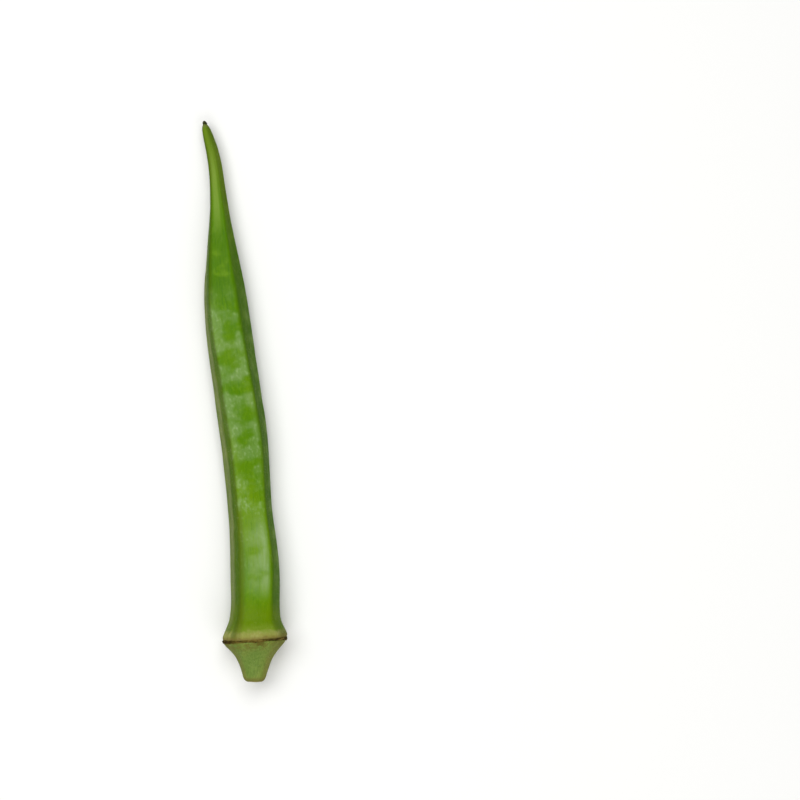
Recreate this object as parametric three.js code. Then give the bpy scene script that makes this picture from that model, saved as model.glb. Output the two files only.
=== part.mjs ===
// An okra pod as picked, lying on its side: one grown piece, so one closed solid.
//
// It is a long five-sided capsule. Its thick end flares to the scar of the fallen calyx, behind
// which a hollow-sided cone narrows to the cut stem. Its thin end draws out into a beak that bends
// to one side and ends in the dried style.
//
// Millimetres, +Z up, +Y from the stem to the tip. The origin is the bottom centre of the pod's
// box, on the surface that it lies on.

import * as THREE from "three";

// ---- Driving dimensions ------------------------------------------------------------------------

const STEM_END = -13.3; // the cut face of the stem, along the axis from the calyx scar
const STEM_RADIUS = 3.45;
const SCAR_RADIUS = 10.45;
const BODY_RADIUS = 7.8; // where the seed chambers are full
const BEAK_RADIUS = 2.3;
const STYLE_RADIUS = 0.8; // the dark nib that the flower's style leaves at the tip
const RIDGES = 5;
const RIDGE_SHARPNESS = 15; // the higher, the flatter the sides and the tighter the ridges
const SCAR_TILT = THREE.MathUtils.degToRad(3.8); // the scar sits slightly askew
const SCAR_TILT_REACH = 6; // how far along the axis that tilt dies away
const FLAT_DEPTH = 0.5; // what the lowest ridge loses to the surface below

const COLUMNS_PER_SIDE = 10; // faces from one ridge to the next
const LONGEST_STEP = 2.6; // between two rings of the body

// The axis: x sideways, y along, z above the surface, with the scar at x = y = 0.
const AXIS = [
  [-0.2, -13.3, 10.6],
  [0.2, 6.0, 9.6],
  [0.1, 25.0, 8.4],
  [-1.6, 44.0, 7.1],
  [-3.3, 64.0, 7.2],
  [-6.2, 84.0, 7.4],
  [-9.1, 104.0, 7.2],
  [-10.7, 124.0, 6.9],
  [-11.7, 140.0, 6.3],
  [-13.3, 154.0, 5.6],
  [-16.4, 166.0, 4.6],
].map(([x, y, z]) => new THREE.Vector3(x, y, z));

// The outline: distance along the axis from the scar, radius, and how five-sided the section is
// there, from 0 for round to 1.
const OUTLINE = [
  [STEM_END, STEM_RADIUS - 1.0, 0.0],
  [-13.0, STEM_RADIUS - 0.5, 0.0],
  [-12.4, STEM_RADIUS, 0.0],
  [-11.0, STEM_RADIUS + 0.35, 0.05],
  [-7.6, STEM_RADIUS + 1.6, 0.1],
  [-5.0, STEM_RADIUS + 2.75, 0.15],
  [-2.6, SCAR_RADIUS - 2.1, 0.2],
  [-0.6, SCAR_RADIUS - 0.35, 0.25],
  [-0.25, SCAR_RADIUS - 0.3, 0.25],
  [-0.1, SCAR_RADIUS - 0.65, 0.25], // the groove where the calyx broke away
  [0.3, SCAR_RADIUS - 0.6, 0.25],
  [0.45, SCAR_RADIUS - 0.1, 0.25],
  [0.9, SCAR_RADIUS, 0.25],
  [1.7, SCAR_RADIUS - 0.15, 0.25],
  [3.6, SCAR_RADIUS - 0.9, 0.35],
  [6.4, BODY_RADIUS + 0.65, 0.5],
  [11.5, BODY_RADIUS + 0.05, 0.65],
  [22.0, BODY_RADIUS + 0.2, 0.8],
  [44.0, BODY_RADIUS - 0.65, 0.9],
  [68.0, BODY_RADIUS - 0.15, 0.9],
  [94.0, BODY_RADIUS - 0.35, 0.9],
  [109.0, BODY_RADIUS - 1.0, 0.95],
  [125.0, BODY_RADIUS - 2.95, 1.0],
  [140.5, BEAK_RADIUS + 0.6, 1.0],
  [154.0, BEAK_RADIUS - 0.1, 0.9],
  [162.5, BEAK_RADIUS - 0.65, 0.6],
  [165.6, BEAK_RADIUS - 1.15, 0.2],
  [166.2, STYLE_RADIUS, 0.0],
  [167.5, STYLE_RADIUS - 0.3, 0.0],
];

// How far the ridges have turned about the axis, in degrees, at a distance along it.
const TURNS = [
  [STEM_END, -4],
  [20, -5],
  [44, -8],
  [92, -2],
  [125, 7],
  [167.5, 19],
];

// ---- Shape -------------------------------------------------------------------------------------

const axisCurve = new THREE.CatmullRomCurve3(AXIS, false, "catmullrom", 0.5);
const axisLength = axisCurve.getLength();
const up = new THREE.Vector3(0, 0, 1);

/** One column of a table at a distance along the axis: smooth through the rows, no overshoot. */
function valueAt(table, distance, column) {
  const last = table.length - 1;
  const slope = (row) =>
    (table[row + 1][column] - table[row][column]) / (table[row + 1][0] - table[row][0]);
  const slopeThrough = (row) => {
    if (row === 0) return slope(0);
    if (row === last) return slope(last - 1);
    const product = slope(row - 1) * slope(row);
    return product > 0 ? (2 * product) / (slope(row - 1) + slope(row)) : 0;
  };
  const above = table.findIndex((row) => row[0] > distance);
  const row = above === -1 ? last - 1 : Math.max(above - 1, 0);
  const width = table[row + 1][0] - table[row][0];
  const t = THREE.MathUtils.clamp((distance - table[row][0]) / width, 0, 1);
  const rise = table[row + 1][column] - table[row][column];
  const leaving = slopeThrough(row) * width;
  const arriving = slopeThrough(row + 1) * width;
  return (
    table[row][column] +
    t * leaving +
    t ** 2 * (3 * rise - 2 * leaving - arriving) +
    t ** 3 * (leaving + arriving - 2 * rise)
  );
}

/** The radius at an angle of a five-sided section that has a flat side up and rounded ridges. */
function fiveSided(angle) {
  let sum = 0;
  for (let side = 0; side < RIDGES; side++) {
    const towardsSide = Math.cos(angle - Math.PI / 2 - (side * 2 * Math.PI) / RIDGES);
    sum += Math.max(0, towardsSide) ** RIDGE_SHARPNESS;
  }
  return sum ** (-1 / RIDGE_SHARPNESS);
}

const columns = RIDGES * COLUMNS_PER_SIDE;
const angles = Array.from({ length: columns }, (_, column) => (2 * Math.PI * column) / columns);
const fiveSidedHalfWidth = Math.max(...angles.map((angle) => fiveSided(angle) * Math.cos(angle)));

/** One ring of the skin, square to the axis, or askew by the scar's tilt near the scar. */
function ringAt(distance) {
  const u = Math.min((distance - STEM_END) / axisLength, 1);
  const centre = axisCurve.getPointAt(u);
  const ahead = axisCurve.getTangentAt(u);
  ahead.applyAxisAngle(up, SCAR_TILT * Math.exp(-((distance / SCAR_TILT_REACH) ** 2)));
  const across = new THREE.Vector3().crossVectors(ahead, up).normalize();
  const over = new THREE.Vector3().crossVectors(across, ahead);
  const radius = valueAt(OUTLINE, distance, 1);
  const ridged = valueAt(OUTLINE, distance, 2);
  const turn = THREE.MathUtils.degToRad(valueAt(TURNS, distance, 1));
  return angles.map((angle) => {
    const reach = radius * (1 + ridged * (fiveSided(angle) / fiveSidedHalfWidth - 1));
    const turned = angle + turn;
    return centre
      .clone()
      .addScaledVector(across, reach * Math.cos(turned))
      .addScaledVector(over, reach * Math.sin(turned));
  });
}

/** Where the rings go: at every row of the outline, and evenly between rows that are far apart. */
function ringDistances() {
  const distances = [STEM_END];
  for (let row = 1; row < OUTLINE.length; row++) {
    const start = OUTLINE[row - 1][0];
    const gap = OUTLINE[row][0] - start;
    const steps = Math.ceil(gap / LONGEST_STEP);
    for (let step = 1; step <= steps; step++) distances.push(start + (gap * step) / steps);
  }
  return distances;
}

/** The skin through the rings, closed by a fan on the cut face and one on the tip. */
function podGeometry() {
  const rings = ringDistances().map(ringAt);
  const lastRing = rings[rings.length - 1];
  const middleOf = (ring) =>
    ring.reduce((sum, point) => sum.add(point), new THREE.Vector3()).divideScalar(columns);
  const points = [...rings.flat(), middleOf(rings[0]), middleOf(lastRing)];
  const cutFace = points.length - 2;
  const tip = points.length - 1;
  const faces = [];
  for (let column = 0; column < columns; column++) {
    const next = (column + 1) % columns;
    faces.push(cutFace, column, next);
    for (let start = 0; start < cutFace - columns; start += columns) {
      const end = start + columns;
      faces.push(start + column, end + column, end + next);
      faces.push(start + column, end + next, start + next);
    }
    faces.push(tip, cutFace - columns + next, cutFace - columns + column);
  }
  return new THREE.BufferGeometry().setFromPoints(points).setIndex(faces);
}

/** Centres the pod on its box, and presses its lowest ridge flat on the surface at z = 0. */
function layDown(geometry) {
  geometry.computeBoundingBox();
  const middle = geometry.boundingBox.getCenter(new THREE.Vector3());
  geometry.translate(-middle.x, -middle.y, -geometry.boundingBox.min.z - FLAT_DEPTH);
  const position = geometry.getAttribute("position");
  for (let i = 0; i < position.count; i++) position.setZ(i, Math.max(0, position.getZ(i)));
  geometry.computeVertexNormals();
  return geometry;
}

// ---- The object --------------------------------------------------------------------------------

const podSkin = new THREE.MeshStandardMaterial({
  name: "pod_skin",
  color: 0x5f9213,
  roughness: 0.45,
  metalness: 0,
});

const pod = new THREE.Mesh(layDown(podGeometry()), podSkin);
pod.name = "okra_pod";

const okra = new THREE.Group();
okra.name = "okra";
okra.add(pod);

export default okra;
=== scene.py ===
"""Models a freshly picked okra pod, laid on a pale table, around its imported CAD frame.

The pod is built straight, along +Y with its calyx scar at y = 0, and then bent along its axis.
Sizes are metres; MM turns the millimetres that the values are written in to metres.
"""

import math
import random

import bmesh
import bpy
from bpy.props import FloatProperty, FloatVectorProperty, PointerProperty
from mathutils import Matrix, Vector


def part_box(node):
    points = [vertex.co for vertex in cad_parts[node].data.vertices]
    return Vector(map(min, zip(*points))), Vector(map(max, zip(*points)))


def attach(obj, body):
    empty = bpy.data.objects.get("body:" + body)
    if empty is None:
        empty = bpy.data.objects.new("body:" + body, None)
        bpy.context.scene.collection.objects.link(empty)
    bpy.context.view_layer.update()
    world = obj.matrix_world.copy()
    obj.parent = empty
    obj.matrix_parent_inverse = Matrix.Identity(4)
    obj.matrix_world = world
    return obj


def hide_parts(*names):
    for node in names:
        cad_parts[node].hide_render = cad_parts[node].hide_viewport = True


bl_info = {
    "name": "Okra Pod",
    "version": (1, 0, 0),
    "blender": (4, 5, 0),
    "location": "3D View > Sidebar > Okra",
    "description": "Models a freshly picked okra pod with its scar, dried style and fine down",
    "category": "Add Mesh",
}

MM = 0.001

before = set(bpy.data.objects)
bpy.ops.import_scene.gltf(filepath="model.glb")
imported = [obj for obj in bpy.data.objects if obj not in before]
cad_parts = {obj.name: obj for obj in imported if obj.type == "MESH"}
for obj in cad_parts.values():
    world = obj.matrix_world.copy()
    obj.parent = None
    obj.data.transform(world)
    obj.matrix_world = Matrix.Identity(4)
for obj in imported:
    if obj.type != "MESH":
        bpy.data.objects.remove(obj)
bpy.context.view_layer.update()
POD_NODE = "okra_pod"
BODY = "root"

# The ends of the straight pod, in mm from the scar.
STEM_END = -13.3
SKIN_END = 166.9
# Where the pod's axis runs, in mm from the scar: x sideways, y along, z above the surface.
AXIS = [
    (0.1, STEM_END, 10.6),
    (0.2, 6.0, 9.6),
    (0.1, 25.0, 8.4),
    (-1.6, 44.0, 7.1),
    (-3.3, 64.0, 7.2),
    (-6.2, 84.0, 7.4),
    (-9.1, 104.0, 7.2),
    (-10.7, 124.0, 6.9),
    (-11.7, 140.0, 6.3),
    (-13.3, 154.0, 5.6),
    (-16.4, 166.0, 4.6),
]
SCAR_PLACE = Vector((3.33, -76.35, 0.14))  # where AXIS's zero lies in the frame, in mm
# How far the ridges have turned about the axis, in degrees, at a distance along it in mm.
TURNS = [(STEM_END, -4), (20.0, -5), (44.0, -8), (92.0, -2), (125.0, 7), (167.5, 19)]
# The scar leans by this angle, and the skin next to it leans less with every mm.
SCAR_TILT = math.radians(3.8)
SCAR_TILT_REACH = 6.0
# Distances in mm: the seeds' rings lie between the first two, and the others close the beak.
SEEDS_START = 7.6
SEEDS_END = 133.0
BEAK_RINGS = (139.0, 145.0, 151.0, 156.5, 161.0, 164.0, 165.4, 166.2, SKIN_END)

# The section: five sides of four faces each, and how far its corners stand out of a circle that
# has the section's half width. Subdivision rounds them to the frame's ridges.
SIDES = 5
SIDE_FACES = 4
COLUMNS = SIDES * SIDE_FACES
COLUMN_REACH = (1.132, 0.937, 0.891, 0.937)  # at a ridge, a quarter, the middle, a quarter
ROUND_REACH = 1.0166  # all round, where the section is a circle
SMOOTH_LEVELS = 3
STYLE_LEVELS = 2
AXIS_STEPS = 48  # between two of AXIS's points


def linear(hex_colour):
    """An sRGB hex colour as the linear RGBA that Blender's sockets take."""
    values = [int(hex_colour[i:i + 2], 16) / 255 for i in (1, 3, 5)]
    return [v / 12.92 if v <= 0.04045 else ((v + 0.055) / 1.055) ** 2.4 for v in values] + [1.0]


# ---- What a user would change --------------------------------------------------------------------


class OkraShape(bpy.types.PropertyGroup):
    """The pod's sizes."""

    stem_radius: FloatProperty(
        name="Stem radius", description="Radius of the cut stem",
        default=3.45 * MM, unit="LENGTH", precision=5)
    scar_radius: FloatProperty(
        name="Scar radius", description="Radius over the rim of the calyx scar",
        default=10.5 * MM, unit="LENGTH", precision=5)
    body_radius: FloatProperty(
        name="Body radius", description="Half the pod's width where its seed chambers are full",
        default=7.8 * MM, unit="LENGTH", precision=5)
    beak_radius: FloatProperty(
        name="Beak radius", description="Half the width of the beak, ahead of its last centimetre",
        default=2.3 * MM, unit="LENGTH", precision=5)
    twist: FloatProperty(
        name="Twist", description="How much of its turn about the axis the pod has, 1 for all",
        default=1.0, min=0, subtype="FACTOR")
    seed_pitch: FloatProperty(
        name="Seed pitch", description="Distance from one seed to the next in a chamber",
        default=8.7 * MM, unit="LENGTH", precision=5)
    seed_relief: FloatProperty(
        name="Seed relief", description="How far a seed pushes the middle of a side out",
        default=0.42 * MM, unit="LENGTH", precision=5)
    hair_density: FloatProperty(
        name="Hair density", description="Hairs on a square metre of skin",
        default=2.1e6, min=0)
    hair_length: FloatProperty(
        name="Hair length", description="Length of the longest hairs of the down",
        default=0.55 * MM, unit="LENGTH", precision=5)


class OkraColours(bpy.types.PropertyGroup):
    """The pod's colours."""

    skin: FloatVectorProperty(
        name="Skin", description="The skin's main green",
        default=linear("#527D04"), size=4, subtype="COLOR")
    sunned: FloatVectorProperty(
        name="Sunned skin", description="The yellower green of the skin that faced the light",
        default=linear("#658A08"), size=4, subtype="COLOR")
    # Partly real bloom, partly painted sheen: the skin lays this colour only over its upper side.
    bloom_and_sheen: FloatVectorProperty(
        name="Bloom", description="The pale bloom on the crowns of the sides",
        default=linear("#88A368"), size=4, subtype="COLOR")
    collar: FloatVectorProperty(
        name="Collar", description="The pale band next to the scar",
        default=linear("#A6A862"), size=4, subtype="COLOR")
    scar: FloatVectorProperty(
        name="Scar", description="The corky line where the calyx broke away",
        default=linear("#3A2E06"), size=4, subtype="COLOR")
    cone: FloatVectorProperty(
        name="Receptacle", description="The dull green cone behind the scar",
        default=linear("#6C843A"), size=4, subtype="COLOR")
    cut: FloatVectorProperty(
        name="Cut", description="The drying cut face of the stem",
        default=linear("#9C9258"), size=4, subtype="COLOR")
    style: FloatVectorProperty(
        name="Style", description="The dried style at the tip",
        default=linear("#2A2F10"), size=4, subtype="COLOR")
    down: FloatVectorProperty(
        name="Down", description="The fine hairs",
        default=linear("#C8D096"), size=4, subtype="COLOR")


class OkraStage(bpy.types.PropertyGroup):
    """The table, the camera and the lamps."""

    camera_height: FloatProperty(
        name="Camera height", description="Height of the camera above the table",
        default=0.9, unit="LENGTH")
    field: FloatProperty(
        name="Field", description="Width that the camera sees at the pod",
        default=0.256, unit="LENGTH", precision=4)
    table: FloatVectorProperty(
        name="Table", description="The table's colour",
        default=linear("#F4F4F2"), size=4, subtype="COLOR")
    key_power: FloatProperty(
        name="Key power", description="Power of the softbox past the tip", default=5.6, unit="POWER")
    fill_power: FloatProperty(
        name="Fill power", description="Power of the softbox past the stem",
        default=4.2, unit="POWER")


# ---- Tools that the pieces share -----------------------------------------------------------------


def outline_rows(shape):
    """Distance along the axis, half width and how five-sided the section is, in mm."""
    stem, scar = shape.stem_radius / MM, shape.scar_radius / MM
    body, beak = shape.body_radius / MM, shape.beak_radius / MM
    return [
        (STEM_END, stem - 1.25, 0.0),
        (-13.15, stem - 0.75, 0.0),
        (-12.7, stem - 0.2, 0.0),
        (-11.9, stem + 0.2, 0.0),
        (-11.0, stem + 0.45, 0.05),
        (-9.4, stem + 0.9, 0.1),
        (-7.6, stem + 1.6, 0.1),
        (-5.8, stem + 2.35, 0.15),
        (-4.2, stem + 3.5, 0.15),
        (-2.8, scar - 2.2, 0.2),
        (-1.5, scar - 0.95, 0.2),
        (-0.7, scar - 0.4, 0.25),
        (-0.35, scar - 0.3, 0.25),
        (-0.1, scar - 0.7, 0.25),
        (0.15, scar - 0.7, 0.25),
        (0.4, scar - 0.15, 0.25),
        (0.9, scar + 0.1, 0.25),
        (1.6, scar, 0.25),
        (2.5, scar - 0.35, 0.3),
        (3.9, scar - 1.05, 0.4),
        (5.6, body + 0.8, 0.5),
        (7.6, body + 0.2, 0.55),
        (11.5, body - 0.1, 0.65),
        (22.0, body + 0.05, 0.8),
        (44.0, body - 0.75, 0.9),
        (68.0, body - 0.3, 0.9),
        (94.0, body - 0.45, 0.9),
        (109.0, body - 1.0, 0.95),
        (125.0, body - 2.95, 1.0),
        (140.5, beak + 0.55, 1.0),
        (154.0, beak - 0.25, 0.9),
        (162.5, beak - 0.75, 0.6),
        (165.2, beak - 1.1, 0.2),
        (166.1, beak - 1.35, 0.1),
        (SKIN_END, beak - 1.85, 0.0),
    ]


def outline_at(rows, distance, column):
    """One column of the outline at a distance: smooth through the rows, with no overshoot."""
    last = len(rows) - 1

    def slope(row):
        return (rows[row + 1][column] - rows[row][column]) / (rows[row + 1][0] - rows[row][0])

    def slope_through(row):
        if row in (0, last):
            return slope(min(row, last - 1))
        product = slope(row - 1) * slope(row)
        return 2 * product / (slope(row - 1) + slope(row)) if product > 0 else 0.0

    row = max(i for i in range(last) if rows[i][0] <= distance or i == 0)
    width = rows[row + 1][0] - rows[row][0]
    t = min(max((distance - rows[row][0]) / width, 0.0), 1.0)
    rise = rows[row + 1][column] - rows[row][column]
    leaving, arriving = slope_through(row) * width, slope_through(row + 1) * width
    return (rows[row][column] + t * leaving + t ** 2 * (3 * rise - 2 * leaving - arriving)
            + t ** 3 * (leaving + arriving - 2 * rise))


def only(piece):
    """Deselects everything, then makes one object the selected and active one."""
    bpy.ops.object.select_all(action="DESELECT")
    piece.select_set(True)
    bpy.context.view_layer.objects.active = piece


def select_vertices(piece, test):
    """In edit mode, selects the vertices whose place, in mm, passes the test, and no others."""
    mesh = bmesh.from_edit_mesh(piece.data)
    for vertex in mesh.verts:
        vertex.select = False
    mesh.select_flush(False)
    for vertex in mesh.verts:
        vertex.select = test(vertex.co / MM)
    mesh.select_flush_mode()
    bmesh.update_edit_mesh(piece.data, loop_triangles=False, destructive=False)


def apply_modifier(piece, kind, **settings):
    """Adds a modifier with its settings and applies it."""
    only(piece)
    modifier = piece.modifiers.new(kind.lower(), kind)
    for name, value in settings.items():
        setattr(modifier, name, value)
    bpy.ops.object.modifier_apply(modifier=modifier.name)


def subdivide(piece, levels):
    """Smooths a cage, remade first with its faces in one fixed order. Extruding gives them another
    order in each run, and the hairs are scattered face by face."""
    places = [vertex.co.copy() for vertex in piece.data.vertices]
    faces = []
    for face in piece.data.polygons:
        corners = list(face.vertices)
        first = corners.index(min(corners))
        faces.append(corners[first:] + corners[:first])
    piece.data.clear_geometry()
    piece.data.from_pydata(places, [], sorted(faces))
    apply_modifier(piece, "SUBSURF", levels=levels, render_levels=levels)


def wrinkle(piece, grain, depth, direction="NORMAL", group="", stretch=(1, 1, 1), seed=0.0):
    """Moves a straight piece's skin in and out by a cloudy pattern of the given grain and depth.

    The grain is longer along an axis whose stretch is above 1. A group limits where it works."""
    texture = bpy.data.textures.new("cloud", "CLOUDS")
    texture.noise_scale = 1.0
    texture.noise_depth = 1
    bpy.ops.object.empty_add(location=(seed, seed, seed))
    ruler = bpy.context.object
    ruler.scale = [grain * s for s in stretch]
    bpy.context.view_layer.update()
    apply_modifier(
        piece, "DISPLACE", texture=texture, texture_coords="OBJECT", texture_coords_object=ruler,
        strength=depth, mid_level=0.5, direction=direction, vertex_group=group)
    bpy.data.objects.remove(ruler)
    bpy.data.textures.remove(texture)


def keep_straight_places(piece):
    """Stores where each vertex is on the straight pod, for patterns that follow the skin."""
    count = len(piece.data.vertices)
    places = [0.0] * (count * 3)
    piece.data.vertices.foreach_get("co", places)
    attribute = piece.data.attributes.new("straight", "FLOAT_VECTOR", "POINT")
    attribute.data.foreach_set("vector", places)


def add_axis_curve(shape):
    """The pod's axis as a curve in the frame, tilted so that the ridges turn along it."""
    points = [(Vector(point) + SCAR_PLACE) * MM for point in AXIS]
    bpy.ops.object.select_all(action="DESELECT")
    bpy.ops.curve.primitive_bezier_curve_add(enter_editmode=True)
    bpy.ops.curve.select_all(action="SELECT")
    bpy.ops.curve.delete(type="VERT")
    for point in points:
        bpy.ops.curve.vertex_add(location=point)
    bpy.ops.object.mode_set(mode="OBJECT")
    axis = bpy.context.object
    axis.data.dimensions = "3D"
    axis.data.twist_mode = "Z_UP"
    axis.data.resolution_u = AXIS_STEPS
    last = len(points) - 1
    for i, knot in enumerate(axis.data.splines[0].bezier_points):
        # Each handle is a third of the mean step between the points on both sides.
        before, after = max(i - 1, 0), min(i + 1, last)
        handle = (points[after] - points[before]) / (3 * (after - before))
        knot.handle_left_type = knot.handle_right_type = "FREE"
        knot.handle_left = points[i] - handle
        knot.handle_right = points[i] + handle
        # A quarter turn of the curve keeps the piece's upper side up.
        turn = outline_at(TURNS, AXIS[i][1], 1)
        knot.tilt = math.radians(90 - shape.twist * turn)
    return axis


def bend(piece, shape):
    """Bends a straight piece along the pod's axis, then presses it flat on the table."""
    axis = add_axis_curve(shape)
    only(piece)
    for vertex in piece.data.vertices:
        reach = (vertex.co.y / MM / SCAR_TILT_REACH) ** 2
        vertex.co.y += vertex.co.x * math.tan(SCAR_TILT * math.exp(-reach))
        vertex.co.y -= STEM_END * MM
    apply_modifier(piece, "CURVE", object=axis, deform_axis="POS_Y")
    bpy.data.objects.remove(axis)
    for vertex in piece.data.vertices:
        vertex.co.z = max(vertex.co.z, 0.0)


def add_node(tree, kind, inputs=None, **settings):
    """Adds a shader node with its settings. An input is a value, or another node's output."""
    made = tree.nodes.new(kind)
    for name, value in settings.items():
        setattr(made, name, value)
    for key, value in (inputs or {}).items():
        if isinstance(value, bpy.types.NodeSocket):
            tree.links.new(value, made.inputs[key])
        else:
            made.inputs[key].default_value = value
    return made


# ---- Straight shapes -----------------------------------------------------------------------------


def column_of(place):
    """Which column a vertex of a straight ring is in, counted from the lowest ridge."""
    turn = (math.atan2(place.z, place.x) + math.pi / 2) / (2 * math.pi)
    return round(turn * COLUMNS) % COLUMNS


def is_at(place, ring):
    """Whether a place, in mm, is in the ring at a distance along the axis."""
    return abs(place.y - ring) < 1e-3


def start_ring(name, at):
    """Adds a ring of edges round the straight axis, open in edit mode, at a distance in mm."""
    bpy.ops.object.select_all(action="DESELECT")
    bpy.ops.mesh.primitive_circle_add(
        vertices=COLUMNS, radius=MM, fill_type="NOTHING", rotation=(math.pi / 2, 0, 0))
    piece = bpy.context.object
    piece.name = piece.data.name = name
    bpy.ops.object.transform_apply(location=True, rotation=True, scale=True)
    bpy.ops.object.mode_set(mode="EDIT")
    bpy.ops.transform.translate(value=(0, at * MM, 0))
    return piece


def extrude_rings(piece, rows, rings):
    """Draws the first ring out along +Y, and gives each new ring its own five-sided section."""
    reach_before = [1.0] * SIDE_FACES
    for i, ring in enumerate(rings):
        if i:
            step = (ring - rings[i - 1]) * MM
            bpy.ops.mesh.extrude_region_move(TRANSFORM_OT_translate={"value": (0, step, 0)})
        half_width, ridged = outline_at(rows, ring, 1), outline_at(rows, ring, 2)
        for kind in range(SIDE_FACES):
            reach = half_width * (ROUND_REACH + ridged * (COLUMN_REACH[kind] - ROUND_REACH))
            grow = reach / reach_before[kind]
            reach_before[kind] = reach
            select_vertices(
                piece, lambda place: is_at(place, ring) and column_of(place) % SIDE_FACES == kind)
            bpy.ops.transform.resize(value=(grow, 1, grow), center_override=(0, ring * MM, 0))
        select_vertices(piece, lambda place: is_at(place, ring))


def finish_piece(piece, material):
    """Smooths a piece's shading, gives it its material and lets it ride on the pod's body."""
    only(piece)
    bpy.ops.object.shade_smooth()
    piece.data.materials.append(material)
    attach(piece, BODY)


# ---- Pieces --------------------------------------------------------------------------------------


class OKRA_OT_pod_skin(bpy.types.Operator):
    """Adds the pod's skin, from the cut stem to the tip"""

    bl_idname = "okra.pod_skin"
    bl_label = "Pod skin"

    # The seeds fill their chambers between the two inner distances, in mm, and taper off outwards.
    SWELLING = (4.0, 18.0, 118.0, 140.0)
    # How far a side's middle moves over a seed and between two, as shares of the seed relief.
    OVER_SEED = (0.35, 1.25)
    BETWEEN_SEEDS = (-0.9, -0.3)
    TIP_INSET = 0.2
    # The cut stem's rim, its wood and its pith: the width and the height of each step, in mm.
    CUT_STEPS = ((0.2, 0.0), (0.35, 0.0), (0.5, -0.1), (0.35, -0.12), (0.5, 0.05))

    def execute(self, context):
        shape = context.scene.okra_shape
        rows = outline_rows(shape)
        seed_step = shape.seed_pitch / MM / 2
        rings = [row[0] for row in rows if row[0] <= SEEDS_START]
        while rings[-1] + seed_step < SEEDS_END:
            rings.append(rings[-1] + seed_step)
        seed_rings = [ring for ring in rings if ring > SEEDS_START]
        rings += BEAK_RINGS

        skin = start_ring("okra_skin", rings[0])
        extrude_rings(skin, rows, rings)
        self.swell_over_seeds(skin, shape, seed_rings)
        self.close_ends(skin, rings)
        bpy.ops.object.mode_set(mode="OBJECT")
        subdivide(skin, SMOOTH_LEVELS)
        keep_straight_places(skin)
        wrinkle(skin, grain=14 * MM, depth=0.5 * MM, stretch=(1, 1.6, 1), seed=0.3)
        wrinkle(skin, grain=2.4 * MM, depth=0.14 * MM, stretch=(1, 3.0, 1), seed=0.7)
        wrinkle(skin, grain=0.6 * MM, depth=0.05 * MM, stretch=(1, 7.0, 1), seed=0.1)
        bend(skin, shape)
        finish_piece(skin, skin_material(context.scene.okra_colours, shape.seed_pitch))
        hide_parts(POD_NODE)
        return {"FINISHED"}

    def swell_over_seeds(self, skin, shape, seed_rings):
        """Pushes the middle of each side out over its seeds, a little more over some."""
        draw = random.Random(5)
        start, filled, thinning, end = self.SWELLING
        for side in range(SIDES):
            middle = side * SIDE_FACES + SIDE_FACES // 2
            angle = middle / COLUMNS * 2 * math.pi - math.pi / 2
            for i, ring in enumerate(seed_rings):
                full = min(1.0, (ring - start) / (filled - start), (end - ring) / (end - thinning))
                over_seed = (i + side) % 2 == 0
                push = draw.uniform(*(self.OVER_SEED if over_seed else self.BETWEEN_SEEDS))
                push *= full * shape.seed_relief
                select_vertices(
                    skin, lambda place: is_at(place, ring) and column_of(place) == middle)
                bpy.ops.transform.translate(
                    value=(push * math.cos(angle), 0, push * math.sin(angle)))

    def close_ends(self, skin, rings):
        """Closes the tip, and gives the cut stem its rim, its woody ring and its sunken pith."""
        select_vertices(skin, lambda place: is_at(place, rings[-1]))
        bpy.ops.mesh.edge_face_add()
        bpy.ops.mesh.inset(thickness=self.TIP_INSET * MM)
        select_vertices(skin, lambda place: is_at(place, rings[0]))
        bpy.ops.mesh.edge_face_add()
        for width, height in self.CUT_STEPS:
            bpy.ops.mesh.inset(thickness=width * MM, depth=height * MM)
        bpy.ops.mesh.select_all(action="SELECT")
        bpy.ops.mesh.normals_make_consistent(inside=False)


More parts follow.
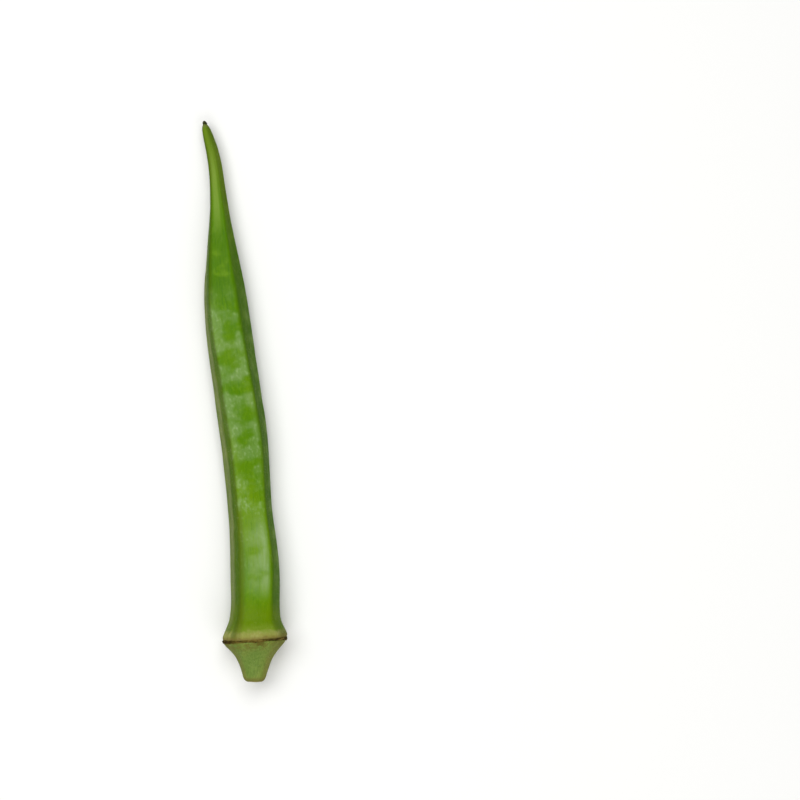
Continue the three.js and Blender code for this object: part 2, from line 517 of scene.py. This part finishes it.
class OKRA_OT_calyx_scar(bpy.types.Operator):
    """Adds the corky rim that the fallen calyx left round the pod, with its torn scraps"""

    bl_idname = "okra.calyx_scar"
    bl_label = "Calyx scar"

    # Columns, counted from the lowest ridge, and how much wider the scar is there.
    WIDTHS = (((4, 5), 1.25), ((13, 14), 1.5), ((7, 8, 9), 0.5), ((10,), 1.8), ((11, 12), 0.6))
    # The scraps: their number, their least and most length and root radius, how deep they are set
    # in the rim, how far to either side of its middle they stand, in mm, and how far they lean.
    SCRAPS = 46
    SCRAP_LENGTH = (0.5, 1.1)
    SCRAP_RADIUS = (0.16, 0.3)
    SCRAP_DEPTH = 0.35
    SCRAP_SPREAD = 0.3
    SCRAP_LEAN = 0.6

    def execute(self, context):
        shape = context.scene.okra_shape
        rim = shape.scar_radius / MM
        rows = [
            (-0.56, rim - 1.0, 0.25),
            (-0.5, rim - 0.25, 0.25),
            (-0.2, rim - 0.1, 0.25),
            (0.2, rim - 0.05, 0.25),
            (0.5, rim - 0.15, 0.25),
            (0.56, rim - 1.0, 0.25),
        ]
        rings = [row[0] for row in rows]
        scar = start_ring("calyx_scar", rings[0])
        extrude_rings(scar, rows, rings)
        select_vertices(scar, lambda place: is_at(place, rings[0]) or is_at(place, rings[-1]))
        bpy.ops.mesh.bridge_edge_loops()
        for columns, grow in self.WIDTHS:
            select_vertices(scar, lambda place: column_of(place) in columns)
            bpy.ops.transform.resize(value=(1, grow, 1), center_override=(0, 0, 0))
        bpy.ops.mesh.select_all(action="SELECT")
        bpy.ops.mesh.normals_make_consistent(inside=False)
        bpy.ops.object.mode_set(mode="OBJECT")
        subdivide(scar, SMOOTH_LEVELS)
        wrinkle(scar, grain=3.5 * MM, depth=0.5 * MM, direction="Y", seed=0.2)
        wrinkle(scar, grain=0.9 * MM, depth=0.35 * MM, direction="Y", seed=0.5)
        wrinkle(scar, grain=1.3 * MM, depth=0.4 * MM, seed=0.9)
        wrinkle(scar, grain=0.35 * MM, depth=0.2 * MM, seed=0.4)
        self.add_scraps(scar, rim)
        bend(scar, shape)
        finish_piece(scar, scar_material(context.scene.okra_colours))
        return {"FINISHED"}

    def add_scraps(self, scar, rim):
        """Joins small dry points to the rim, where the calyx tore off unevenly."""
        draw = random.Random(11)
        scraps = []
        reach = (rim - self.SCRAP_DEPTH) * MM
        for _ in range(self.SCRAPS):
            angle = draw.uniform(0, 2 * math.pi)
            length = draw.uniform(*self.SCRAP_LENGTH) * MM
            radius = draw.uniform(*self.SCRAP_RADIUS) * MM
            along = draw.uniform(-self.SCRAP_SPREAD, self.SCRAP_SPREAD) * MM
            bpy.ops.mesh.primitive_cone_add(
                vertices=5, radius1=radius, radius2=0, depth=length,
                location=(reach * math.cos(angle), along, reach * math.sin(angle)),
                rotation=(0, math.pi / 2 - angle, 0), scale=(0.5, 1.6, 1))
            scraps.append(bpy.context.object)
            bpy.ops.transform.rotate(
                value=draw.uniform(-self.SCRAP_LEAN, self.SCRAP_LEAN), orient_axis="Z",
                center_override=bpy.context.object.location)
        only(scar)
        for scrap in scraps:
            scrap.select_set(True)
        bpy.ops.object.transform_apply(location=True, rotation=True, scale=True)
        bpy.ops.object.join()


class OKRA_OT_dried_style(bpy.types.Operator):
    """Adds the dried remnant of the flower's style at the tip of the beak"""

    bl_idname = "okra.dried_style"
    bl_label = "Dried style"

    def execute(self, context):
        shape = context.scene.okra_shape
        rows = [
            (166.0, 0.45, 0.0),
            (166.4, 0.7, 0.6),
            (166.9, 0.78, 1.0),
            (167.4, 0.66, 1.0),
            (167.8, 0.46, 0.6),
            (168.0, 0.2, 0.0),
        ]
        rings = [row[0] for row in rows]
        style = start_ring("dried_style", rings[0])
        bpy.ops.mesh.edge_face_add()
        extrude_rings(style, rows, rings)
        bpy.ops.mesh.select_all(action="SELECT")
        bpy.ops.mesh.normals_make_consistent(inside=False)
        bpy.ops.object.mode_set(mode="OBJECT")
        subdivide(style, STYLE_LEVELS)
        wrinkle(style, grain=0.7 * MM, depth=0.5 * MM, stretch=(1, 2.5, 1), seed=0.6)
        wrinkle(style, grain=0.25 * MM, depth=0.15 * MM, stretch=(1, 2.5, 1), seed=0.8)
        bend(style, shape)
        finish_piece(style, style_material(context.scene.okra_colours))
        return {"FINISHED"}


class OKRA_OT_down(bpy.types.Operator):
    """Adds the short fine hairs that stand all over the skin"""

    bl_idname = "okra.down"
    bl_label = "Down"

    HAIR_RADIUS = 0.01 * MM
    # Shares of a hair's length: how much of it is rooted in the skin, how high above the table the
    # first ones stand, so that none goes through it, and how long the shortest are.
    ROOT = 0.12
    CLEARANCE = 1.2
    SHORTEST = 0.4
    LEAN = (0.7, 0.7, 3.1)  # the most that a hair leans and turns, in radians

    def execute(self, context):
        shape = context.scene.okra_shape
        bpy.ops.object.select_all(action="DESELECT")
        root = self.ROOT * shape.hair_length
        bpy.ops.mesh.primitive_cone_add(
            vertices=3, radius1=self.HAIR_RADIUS, radius2=0, depth=shape.hair_length,
            location=(0, 0, shape.hair_length / 2 - root))
        hair = context.object
        bpy.ops.object.transform_apply(location=True, rotation=True, scale=True)
        skin = bpy.data.objects["okra_skin"]
        down = bpy.data.objects.new("pod_down", skin.data.copy())
        context.scene.collection.objects.link(down)
        apply_modifier(down, "NODES", node_group=self.scatter_nodes(hair, shape))
        bpy.data.objects.remove(hair)
        down.data.materials.clear()
        finish_piece(down, down_material(context.scene.okra_colours))
        return {"FINISHED"}

    def scatter_nodes(self, hair, shape):
        """Geometry nodes that stand copies of one hair on a skin, leaning and of all lengths."""
        tree = bpy.data.node_groups.new("down", "GeometryNodeTree")
        tree.interface.new_socket("Skin", in_out="INPUT", socket_type="NodeSocketGeometry")
        tree.interface.new_socket("Down", in_out="OUTPUT", socket_type="NodeSocketGeometry")
        skin = add_node(tree, "NodeGroupInput")
        place = add_node(tree, "GeometryNodeInputPosition")
        height = add_node(tree, "ShaderNodeSeparateXYZ", {"Vector": place.outputs[0]})
        clear = add_node(
            tree, "FunctionNodeCompare",
            {0: height.outputs["Z"], 1: self.CLEARANCE * shape.hair_length},
            operation="GREATER_THAN")
        points = add_node(
            tree, "GeometryNodeDistributePointsOnFaces",
            {"Mesh": skin.outputs[0], "Selection": clear.outputs[0],
             "Density": shape.hair_density, "Seed": 3})
        lean = add_node(
            tree, "FunctionNodeRandomValue",
            {0: [-most for most in self.LEAN], 1: self.LEAN, "Seed": 1},
            data_type="FLOAT_VECTOR")
        turned = add_node(
            tree, "FunctionNodeRotateRotation",
            {"Rotation": points.outputs["Rotation"], "Rotate By": lean.outputs[0]},
            rotation_space="LOCAL")
        length = add_node(
            tree, "FunctionNodeRandomValue", {2: self.SHORTEST, 3: 1.0, "Seed": 2},
            data_type="FLOAT")
        model = add_node(tree, "GeometryNodeObjectInfo", {"Object": hair})
        hairs = add_node(
            tree, "GeometryNodeInstanceOnPoints",
            {"Points": points.outputs["Points"], "Instance": model.outputs["Geometry"],
             "Rotation": turned.outputs[0], "Scale": length.outputs[1]})
        real = add_node(tree, "GeometryNodeRealizeInstances", {"Geometry": hairs.outputs[0]})
        add_node(tree, "NodeGroupOutput", {"Down": real.outputs[0]})
        return tree


# ---- Materials -----------------------------------------------------------------------------------


def start_material(name, **sockets):
    """A new material named for what it is, with values set on its shader's own sockets."""
    material = bpy.data.materials.new(name)
    material.use_nodes = True
    surface = material.node_tree.nodes["Principled BSDF"]
    for socket, value in sockets.items():
        surface.inputs[socket.replace("_", " ")].default_value = value
    return material, material.node_tree, surface


def cloudy_patterns(tree, place, grains):
    """Cloudy patterns by name, each with the size in mm of its grains across and along the pod."""
    patterns = {}
    for name, (across, along, detail) in grains.items():
        scale = (1 / (across * MM), 1 / (along * MM), 1 / (across * MM))
        # Each pattern starts elsewhere in the noise, so that no two line up.
        start = (len(patterns) * 5.3,) * 3
        sized = add_node(
            tree, "ShaderNodeMapping", {"Vector": place, "Scale": scale, "Location": start})
        patterns[name] = add_node(
            tree, "ShaderNodeTexNoise",
            {"Vector": sized.outputs[0], "Scale": 1.0, "Detail": detail}).outputs[0]
    return patterns


def lay_over(tree, colour, layers):
    """Lays tints over a colour. A layer is its tint, how strong it is at most, and the patterns
    that bring it in, each with the value where that starts and the value where it is complete."""
    for tint, strength, *limits in layers:
        amount = strength
        for pattern, start, complete in limits:
            step = add_node(
                tree, "ShaderNodeMapRange",
                {"Value": pattern, "From Min": start, "From Max": complete},
                interpolation_type="SMOOTHSTEP")
            amount = add_node(
                tree, "ShaderNodeMath", {0: step.outputs[0], 1: amount},
                operation="MULTIPLY").outputs[0]
        colour = add_node(
            tree, "ShaderNodeMix", {0: amount, 6: colour, 7: tint}, data_type="RGBA").outputs[2]
    return colour


def skin_material(colours, seed_pitch):
    """Fresh okra skin: a thin waxy rind under short down, so it is softly glossy and never wet.

    The down breaks up the rind's own shine, and the sheen is painted into the colour instead, so the
    shine is nearly off, and a thin coat stands for the wax. The side faces' shade is painted in too.
    Every pattern follows the straight pod, so that it runs along the bent one."""
    material, tree, surface = start_material(
        "fresh okra skin", Specular_IOR_Level=0.004, Coat_Weight=0.07, Coat_Roughness=0.3,
        Subsurface_Weight=0.06, Subsurface_Radius=(0.5, 1.0, 0.2), Subsurface_Scale=0.6 * MM)
    straight = add_node(tree, "ShaderNodeAttribute", attribute_name="straight").outputs["Vector"]
    parts = add_node(tree, "ShaderNodeSeparateXYZ", {"Vector": straight})
    along, rightward = parts.outputs["Y"], parts.outputs["X"]
    # The grains are those of a pod: slow blushes, patches of bloom and painted sheen as wide as a
    # seed, a fine mottle, fibres, small stains and crumbs of cork. The fibres are drawn twice as
    # coarse as life, so that they show.
    patterns = cloudy_patterns(tree, straight, {
        "blush": (9, 26, 2), "bloom_and_sheen": (5.0, 4.0, 2), "mottle": (0.9, 1.4, 3),
        "fibres": (0.4, 7, 3), "stains": (1.6, 1.1, 3), "crumbs": (0.35, 0.35, 2)})

    # 1 on the ridges, -1 along the middles of the sides.
    angle = add_node(
        tree, "ShaderNodeMath", {0: parts.outputs["Z"], 1: parts.outputs["X"]},
        operation="ARCTAN2")
    turns = add_node(
        tree, "ShaderNodeMath", {0: angle.outputs[0], 1: SIDES, 2: SIDES * math.pi / 2},
        operation="MULTIPLY_ADD")
    ridges = add_node(
        tree, "ShaderNodeMath", {0: turns.outputs[0]}, operation="COSINE").outputs[0]
    # 1 a little left of the upper side's middle, 0.86 on its left ridge, 0.75 on its right one.
    turned = add_node(
        tree, "ShaderNodeMath", {0: angle.outputs[0], 1: 0.1}, operation="SUBTRACT")
    upward = add_node(
        tree, "ShaderNodeMath", {0: turned.outputs[0]}, operation="SINE").outputs[0]
    # Where the bloom and the painted sheen are stronger: in bands that follow the seeds, and towards
    # the ridges.
    seeds = add_node(
        tree, "ShaderNodeMath",
        {0: along, 1: 2 * math.pi / seed_pitch, 2: -2 * math.pi * SEEDS_START * MM / seed_pitch},
        operation="MULTIPLY_ADD")
    between = add_node(tree, "ShaderNodeMath", {0: seeds.outputs[0]}, operation="COSINE")
    banded = add_node(
        tree, "ShaderNodeMath", {0: between.outputs[0], 1: 0.08, 2: patterns["bloom_and_sheen"]},
        operation="MULTIPLY_ADD")
    shoulder = add_node(
        tree, "ShaderNodeMath", {0: ridges, 1: 0.06, 2: banded.outputs[0]},
        operation="MULTIPLY_ADD").outputs[0]
    # Distance from the scar, made ragged, so that nothing ends on a straight line.
    ragged = add_node(
        tree, "ShaderNodeMath", {0: patterns["stains"], 1: 2.4 * MM, 2: along},
        operation="MULTIPLY_ADD").outputs[0]

    # Distance from the axis, for the rings of the cut face.
    crosswise = add_node(
        tree, "ShaderNodeVectorMath", {0: straight, 1: (1, 0, 1)}, operation="MULTIPLY")
    from_axis = add_node(
        tree, "ShaderNodeVectorMath", {0: crosswise.outputs[0]}, operation="LENGTH")
    outward = add_node(
        tree, "ShaderNodeMath",
        {0: patterns["stains"], 1: 0.6 * MM, 2: from_axis.outputs["Value"]},
        operation="MULTIPLY_ADD").outputs[0]

    # Where a layer lies: a pattern, the value where it starts and the value where it is complete.
    on_top = (upward, 0.7, 0.85)
    well_on_top = (upward, 0.74, 0.88)
    on_sides = (upward, 0.7, 0.5)
    below_ridge = (upward, 0.62, 0.3)
    on_left = (rightward, -3.5 * MM, -5.5 * MM)
    on_right = (rightward, 2 * MM, 5 * MM)
    left_of_middle = (rightward, -0.3 * MM, -1.5 * MM)
    left_ridge = ((upward, 0.8, 0.86), (upward, 0.96, 0.9), left_of_middle)
    before_beak = (along, 117 * MM, 105 * MM)
    on_cut = (along, -12.95 * MM, -13.1 * MM)

    rind = lay_over(tree, tuple(colours.skin), [
        # The greens of the skin: yellower blushes, darker fibres, paler mottle.
        (tuple(colours.sunned), 1.0, (patterns["blush"], 0.38, 0.68)),
        (linear("#3F7208"), 0.5, (patterns["fibres"], 0.48, 0.75)),
        (linear("#70981A"), 0.35, (patterns["mottle"], 0.5, 0.72)),
        # The side faces: painted shade that darkens them, with mottle, fibres and some bloom, and a
        # painted pale reflection along their lower ridges.
        (linear("#3C5406"), 0.75, (upward, 0.82, 0.6)),
        (linear("#5F7C16"), 0.35, on_sides, (patterns["mottle"], 0.42, 0.68)),
        (linear("#80902C"), 0.3, on_sides, (patterns["fibres"], 0.45, 0.65)),
        (linear("#768A26"), 0.3, on_sides, (shoulder, 0.4, 0.75)),
        # Painted reflection: a pale rim along the lower ridges, broken up by stains.
        (linear("#8C8A5A"), 0.45, (ridges, 0.75, 1.0), (upward, 0.4, 0.1),
         (patterns["stains"], 0.3, 0.6)),
        # The left face: a painted pale reflection of the table that fades downwards, broken up by
        # fibres, and green stains.
        (linear("#A2A67A"), 0.42, below_ridge, (upward, -0.5, 0.35), on_left,
         (patterns["fibres"], 0.0, 0.65)),
        (linear("#6C7A30"), 0.3, below_ridge, on_left, (patterns["stains"], 0.48, 0.66)),
        # The right face: a fresher green, with fibrous bars of bloom between its seeds.
        (linear("#386800"), 0.45, (upward, 0.74, 0.6), on_right),
        (linear("#7C9A4E"), 0.55, (upward, 0.5, 0.2), (shoulder, 0.25, 0.9),
         (patterns["fibres"], 0.1, 0.7), on_right, (along, 122 * MM, 100 * MM),
         (along, 8 * MM, 24 * MM)),
        # The upper half loses the side faces' shade towards the beak.
        (tuple(colours.skin), 0.6, (upward, 0.1, 0.6), (along, 116 * MM, 140 * MM)),
        # Bloom and painted sheen on the upper side: painted highlight specks, one painted sheen
        # patch, and painted sheen streaks near the stem.
        (tuple(colours.bloom_and_sheen), 0.45, (shoulder, 0.32, 0.7), on_top,
         (along, 36 * MM, 76 * MM), before_beak),
        (linear("#A9C08E"), 0.3, (patterns["mottle"], 0.48, 0.7), (shoulder, 0.42, 0.68),
         on_top, (along, 12 * MM, 50 * MM), before_beak),
        (linear("#A0BC80"), 0.36, (patterns["mottle"], 0.1, 0.9), (shoulder, 0.34, 0.62),
         well_on_top, (along, 40 * MM, 44 * MM), (along, 54 * MM, 48 * MM)),
        (linear("#93AC74"), 0.75, (rightward, -7 * MM, 5 * MM), (patterns["fibres"], -0.1, 0.7),
         (shoulder, 0.05, 0.58), well_on_top, (along, 12 * MM, 20 * MM),
         (along, 44 * MM, 31 * MM)),
        # Bare skin: yellow-green next to the collar, and deep green with blotches and dark fibres
        # ahead of the beak.
        (linear("#637A00"), 0.5, (along, 15 * MM, 8 * MM)),
        (linear("#447203"), 0.7, (upward, 0.5, 0.85), (along, 106 * MM, 116 * MM),
         (along, 140 * MM, 130 * MM)),
        (linear("#7AA020"), 0.4, (patterns["bloom_and_sheen"], 0.48, 0.66), (upward, 0.74, 0.9),
         (along, 104 * MM, 112 * MM), (along, 138 * MM, 126 * MM)),
        (linear("#2F5C06"), 0.25, (patterns["fibres"], 0.48, 0.7),
         (along, 104 * MM, 112 * MM), (along, 150 * MM, 130 * MM)),
        # The beak: yellower, with painted shade down its sides, a painted highlight along its top,
        # and dry at its end.
        (linear("#6C8024"), 0.6, (along, 134 * MM, 156 * MM)),
        (linear("#47600C"), 0.2, (upward, 0.93, 0.72), (along, 134 * MM, 142 * MM)),
        (linear("#8CA848"), 0.42, (ridges, 0.85, -0.5), (upward, 0.75, 0.95),
         (along, 126 * MM, 141 * MM), (along, 162 * MM, 148 * MM)),
        # Painted shade on the beak's left half, and on its right side near the tip.
        (linear("#46580E"), 0.45, (rightward, -0.1 * MM, -0.9 * MM), (along, 144 * MM, 154 * MM)),
        (linear("#3F5A08"), 0.35, (rightward, 0.2 * MM, 0.9 * MM), (along, 156 * MM, 163 * MM)),
        (linear("#6E7440"), 0.7, (along, 165.2 * MM, 166.4 * MM)),
        # The collar: a green blush, the pale band, its duller patches, fibres and stains, and its
        # shaded right end.
        (linear("#7E9430"), 0.65, (ragged, 7.6 * MM, 4.2 * MM), (upward, 0.5, 0.85)),
        (tuple(colours.collar), 0.9, (ragged, 5.0 * MM, 2.9 * MM)),
        (linear("#86923F"), 0.8, (patterns["blush"], 0.45, 0.6), (ragged, 5.2 * MM, 3.0 * MM)),
        (linear("#8A8A3E"), 0.7, (patterns["fibres"], 0.4, 0.6), (ragged, 5.0 * MM, 3.0 * MM)),
        (linear("#8A8A3E"), 0.7, (patterns["stains"], 0.4, 0.65), (ragged, 4.0 * MM, 2.4 * MM)),
        (linear("#4E5618"), 0.65, (upward, 0.7, 0.45), (rightward, 1 * MM, 5 * MM),
         (ragged, 5.2 * MM, 3.0 * MM)),
        # Painted shade: a dark line beside the left ridge, wider and browner near the stem and wider
        # again ahead of the beak.
        (linear("#44560E"), 0.6, (upward, 0.67, 0.77), (upward, 0.9, 0.82), left_of_middle),
        (linear("#565A18"), 0.4, *left_ridge, (along, 50 * MM, 36 * MM)),
        (linear("#44560E"), 0.4, *left_ridge, (along, 104 * MM, 114 * MM)),
        # The browned rim beside the scar.
        (linear("#736430"), 0.75, (ragged, 3.2 * MM, 1.8 * MM)),
    ])
    receptacle = lay_over(tree, tuple(colours.cone), [
        # The cone: blushes, fibres, mottle, browner flanks, stains by the scar and one dark tear.
        (linear("#848F40"), 0.6, (patterns["blush"], 0.42, 0.62)),
        (linear("#506A28"), 0.5, (patterns["fibres"], 0.42, 0.66)),
        (linear("#92A052"), 0.2, (patterns["mottle"], 0.5, 0.75)),
        (linear("#7C6C36"), 0.35, (upward, 0.85, 0.6)),
        (linear("#6B6A2C"), 0.7, (ragged, -2.6 * MM, -0.2 * MM), (patterns["stains"], 0.35, 0.6)),
        (linear("#5C5620"), 0.85, (ragged, -0.9 * MM, -0.1 * MM), (upward, 0.3, 0.6),
         (rightward, 0.1 * MM, 0.6 * MM), (rightward, 3.1 * MM, 2.5 * MM)),
        # The stem: its drying edge, the cut face, its green rind, the wood's ring, the pith, crumbs.
        (linear("#6F6A33"), 0.8, (along, -11.4 * MM, -12.7 * MM)),
        (tuple(colours.cut), 1.0, on_cut),
        (linear("#7D7A38"), 0.8, on_cut, (outward, 2.3 * MM, 2.9 * MM)),
        (linear("#74602C"), 0.7, on_cut, (outward, 1.4 * MM, 1.9 * MM),
         (outward, 2.7 * MM, 2.1 * MM)),
        (linear("#C2BA8A"), 0.6, on_cut, (outward, 1.2 * MM, 0.5 * MM)),
        (linear("#6B5A2A"), 0.6, on_cut, (patterns["crumbs"], 0.5, 0.7)),
    ])
    colour = lay_over(tree, receptacle, [(rind, 1.0, (along, -0.1 * MM, 0.1 * MM))])
    tree.links.new(colour, surface.inputs["Base Color"])

    # The bloom is a little glossier than bare skin, and the cone is duller than both.
    glossy = add_node(
        tree, "ShaderNodeMapRange",
        {"Value": shoulder, "From Min": 0.4, "From Max": 0.75, "To Min": 0.45, "To Max": 0.36})
    dull = add_node(
        tree, "ShaderNodeMapRange",
        {"Value": along, "From Min": 3 * MM, "From Max": -1 * MM, "To Max": 0.3})
    roughness = add_node(
        tree, "ShaderNodeMath", {0: glossy.outputs[0], 1: dull.outputs[0]}, operation="ADD")
    tree.links.new(roughness.outputs[0], surface.inputs["Roughness"])

    height = add_node(
        tree, "ShaderNodeMath", {0: patterns["mottle"], 1: 1.5, 2: patterns["fibres"]},
        operation="MULTIPLY_ADD")
    bump = add_node(
        tree, "ShaderNodeBump",
        {"Height": height.outputs[0], "Strength": 0.6, "Distance": 0.15 * MM})
    tree.links.new(bump.outputs[0], surface.inputs["Normal"])
    tree.links.new(bump.outputs[0], surface.inputs["Coat Normal"])
    return material


def set_surface(tree, surface, colour, wear, smoothest, roughest, height, depth):
    """Gives a shader its colour, a roughness that rises with a pattern, and a relief in mm."""
    roughness = add_node(
        tree, "ShaderNodeMapRange",
        {"Value": wear, "From Min": 0.35, "From Max": 0.65,
         "To Min": smoothest, "To Max": roughest})
    bump = add_node(
        tree, "ShaderNodeBump", {"Height": height, "Strength": 0.7, "Distance": depth * MM})
    tree.links.new(colour, surface.inputs["Base Color"])
    tree.links.new(roughness.outputs[0], surface.inputs["Roughness"])
    tree.links.new(bump.outputs[0], surface.inputs["Normal"])


def scar_material(colours):
    """Dried cork and torn fibre: dark, dull and dry, paler where it broke and over the top."""
    material, tree, surface = start_material("dried corky tissue", Specular_IOR_Level=0.06)
    place = add_node(tree, "ShaderNodeTexCoord").outputs["Object"]
    sideways = add_node(tree, "ShaderNodeSeparateXYZ", {"Vector": place}).outputs["X"]
    patterns = cloudy_patterns(tree, place, {"breaks": (2.6, 1.0, 3), "crumbs": (0.5, 0.4, 2)})
    colour = lay_over(tree, tuple(colours.scar), [
        (linear("#6A5E24"), 0.6, (sideways, -5 * MM, -1 * MM), (sideways, 10 * MM, 7 * MM)),
        (linear("#7A6A30"), 0.8, (patterns["breaks"], 0.5, 0.64)),
        (linear("#251806"), 0.7, (patterns["crumbs"], 0.5, 0.7)),
    ])
    set_surface(tree, surface, colour, patterns["crumbs"], 0.7, 0.95, patterns["crumbs"], 0.12)
    return material


def style_material(colours):
    """A withered style: leathery and nearly black, browner and smoother on its folds."""
    material, tree, surface = start_material("withered style", Specular_IOR_Level=0.1)
    place = add_node(tree, "ShaderNodeTexCoord").outputs["Object"]
    patterns = cloudy_patterns(tree, place, {"folds": (0.35, 0.8, 3)})
    colour = lay_over(tree, tuple(colours.style), [
        (linear("#5E5A2C"), 0.7, (patterns["folds"], 0.5, 0.68)),
    ])
    set_surface(tree, surface, colour, patterns["folds"], 0.85, 0.55, patterns["folds"], 0.1)
    return material


def down_material(colours):
    """Plant hairs: nearly colourless and shiny, so they pick up the light behind them. They are
    greener in some tufts, and wavy."""
    material, tree, surface = start_material("plant hairs")
    place = add_node(tree, "ShaderNodeTexCoord").outputs["Object"]
    patterns = cloudy_patterns(tree, place, {"tufts": (2.5, 4.0, 2), "waves": (0.1, 0.1, 1)})
    colour = lay_over(tree, tuple(colours.down), [
        (linear("#9DAA62"), 0.7, (patterns["tufts"], 0.42, 0.62)),
    ])
    set_surface(tree, surface, colour, patterns["tufts"], 0.3, 0.45, patterns["waves"], 0.01)
    return material


# ---- Stage and panel -----------------------------------------------------------------------------


class OKRA_OT_stage(bpy.types.Operator):
    """Adds the table, the softboxes and the camera"""

    bl_idname = "okra.stage"
    bl_label = "Stage"

    TABLE_SIZE = 4
    TABLE_DROP = 0.02 * MM  # so that the pressed ridge and the table don't share a plane
    # A softbox's place, and its width and height.
    KEY_BOX = ((-0.12, 0.26, 0.85), (0.9, 0.45))
    FILL_BOX = ((0.1, -0.55, 0.8), (1.0, 0.7))
    AMBIENT = 0.3
    # Where the camera stands from the pod's middle: to its right, and towards its tip.
    CAMERA_RIGHT = 49.95 * MM
    CAMERA_ALONG = 0.45 * MM
    SENSOR_WIDTH = 36

    def execute(self, context):
        stage = context.scene.okra_stage
        self.add_table(stage)
        self.add_softbox("softbox_key", *self.KEY_BOX, stage.key_power)
        self.add_softbox("softbox_fill", *self.FILL_BOX, stage.fill_power)
        world = bpy.data.worlds.new("studio")
        world.use_nodes = True
        world.node_tree.nodes["Background"].inputs["Color"].default_value = (1, 1, 1, 1)
        world.node_tree.nodes["Background"].inputs["Strength"].default_value = self.AMBIENT
        context.scene.world = world
        context.scene.view_settings.view_transform = "Standard"
        self.add_camera(context, stage)
        return {"FINISHED"}

    def add_table(self, stage):
        """A wide table with a matt white laminate, which gives soft, even reflections."""
        bpy.ops.object.select_all(action="DESELECT")
        bpy.ops.mesh.primitive_plane_add(
            size=self.TABLE_SIZE, location=(0, 0, -self.TABLE_DROP))
        table = bpy.context.object
        table.name = "table"
        material, *_ = start_material(
            "matt white laminate", Base_Color=stage.table, Roughness=0.7)
        table.data.materials.append(material)

    def add_softbox(self, name, place, size, power):
        """A rectangular lamp that points at the frame's origin."""
        bpy.ops.object.light_add(type="AREA", location=place)
        lamp = bpy.context.object
        lamp.name = name
        lamp.data.shape = "RECTANGLE"
        lamp.data.size, lamp.data.size_y = size
        lamp.data.energy = power
        lamp.rotation_euler = (-Vector(place)).to_track_quat("-Z", "Y").to_euler()

    def add_camera(self, context, stage):
        """A camera that looks straight down, with the pod left of the middle of its view."""
        low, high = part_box(POD_NODE)
        centre = (Vector(low) + Vector(high)) / 2
        bpy.ops.object.camera_add(
            location=(centre.x + self.CAMERA_RIGHT, centre.y + self.CAMERA_ALONG,
                      stage.camera_height),
            rotation=(0, 0, 0))
        camera = context.object
        camera.data.sensor_width = self.SENSOR_WIDTH
        height = stage.camera_height - centre.z
        camera.data.lens = self.SENSOR_WIDTH * height / stage.field
        context.scene.camera = camera


class OKRA_PT_panel(bpy.types.Panel):
    """Lists the pieces in the order that they are made in"""

    bl_label = "Okra pod"
    bl_idname = "OKRA_PT_panel"
    bl_space_type = "VIEW_3D"
    bl_region_type = "UI"
    bl_category = "Okra"

    def draw(self, context):
        """Shows a button for each piece, and then every size, colour and stage setting."""
        for operator in OPERATORS:
            self.layout.operator(operator.bl_idname)
        for group in (context.scene.okra_shape, context.scene.okra_colours,
                      context.scene.okra_stage):
            for name in group.__annotations__:
                self.layout.prop(group, name)


OPERATORS = (
    OKRA_OT_pod_skin, OKRA_OT_calyx_scar, OKRA_OT_dried_style, OKRA_OT_down, OKRA_OT_stage)
CLASSES = (OkraShape, OkraColours, OkraStage, *OPERATORS, OKRA_PT_panel)


def register():
    """Registers the classes, and gives the scene their settings."""
    for cls in CLASSES:
        bpy.utils.register_class(cls)
    bpy.types.Scene.okra_shape = PointerProperty(type=OkraShape)
    bpy.types.Scene.okra_colours = PointerProperty(type=OkraColours)
    bpy.types.Scene.okra_stage = PointerProperty(type=OkraStage)


def unregister():
    """Takes away what register added."""
    del bpy.types.Scene.okra_stage
    del bpy.types.Scene.okra_colours
    del bpy.types.Scene.okra_shape
    for cls in reversed(CLASSES):
        bpy.utils.unregister_class(cls)


def main():
    """Makes the pod and its stage."""
    register()
    bpy.ops.okra.pod_skin()
    bpy.ops.okra.calyx_scar()
    bpy.ops.okra.dried_style()
    bpy.ops.okra.down()
    bpy.ops.okra.stage()


if __name__ == "__main__":
    main()
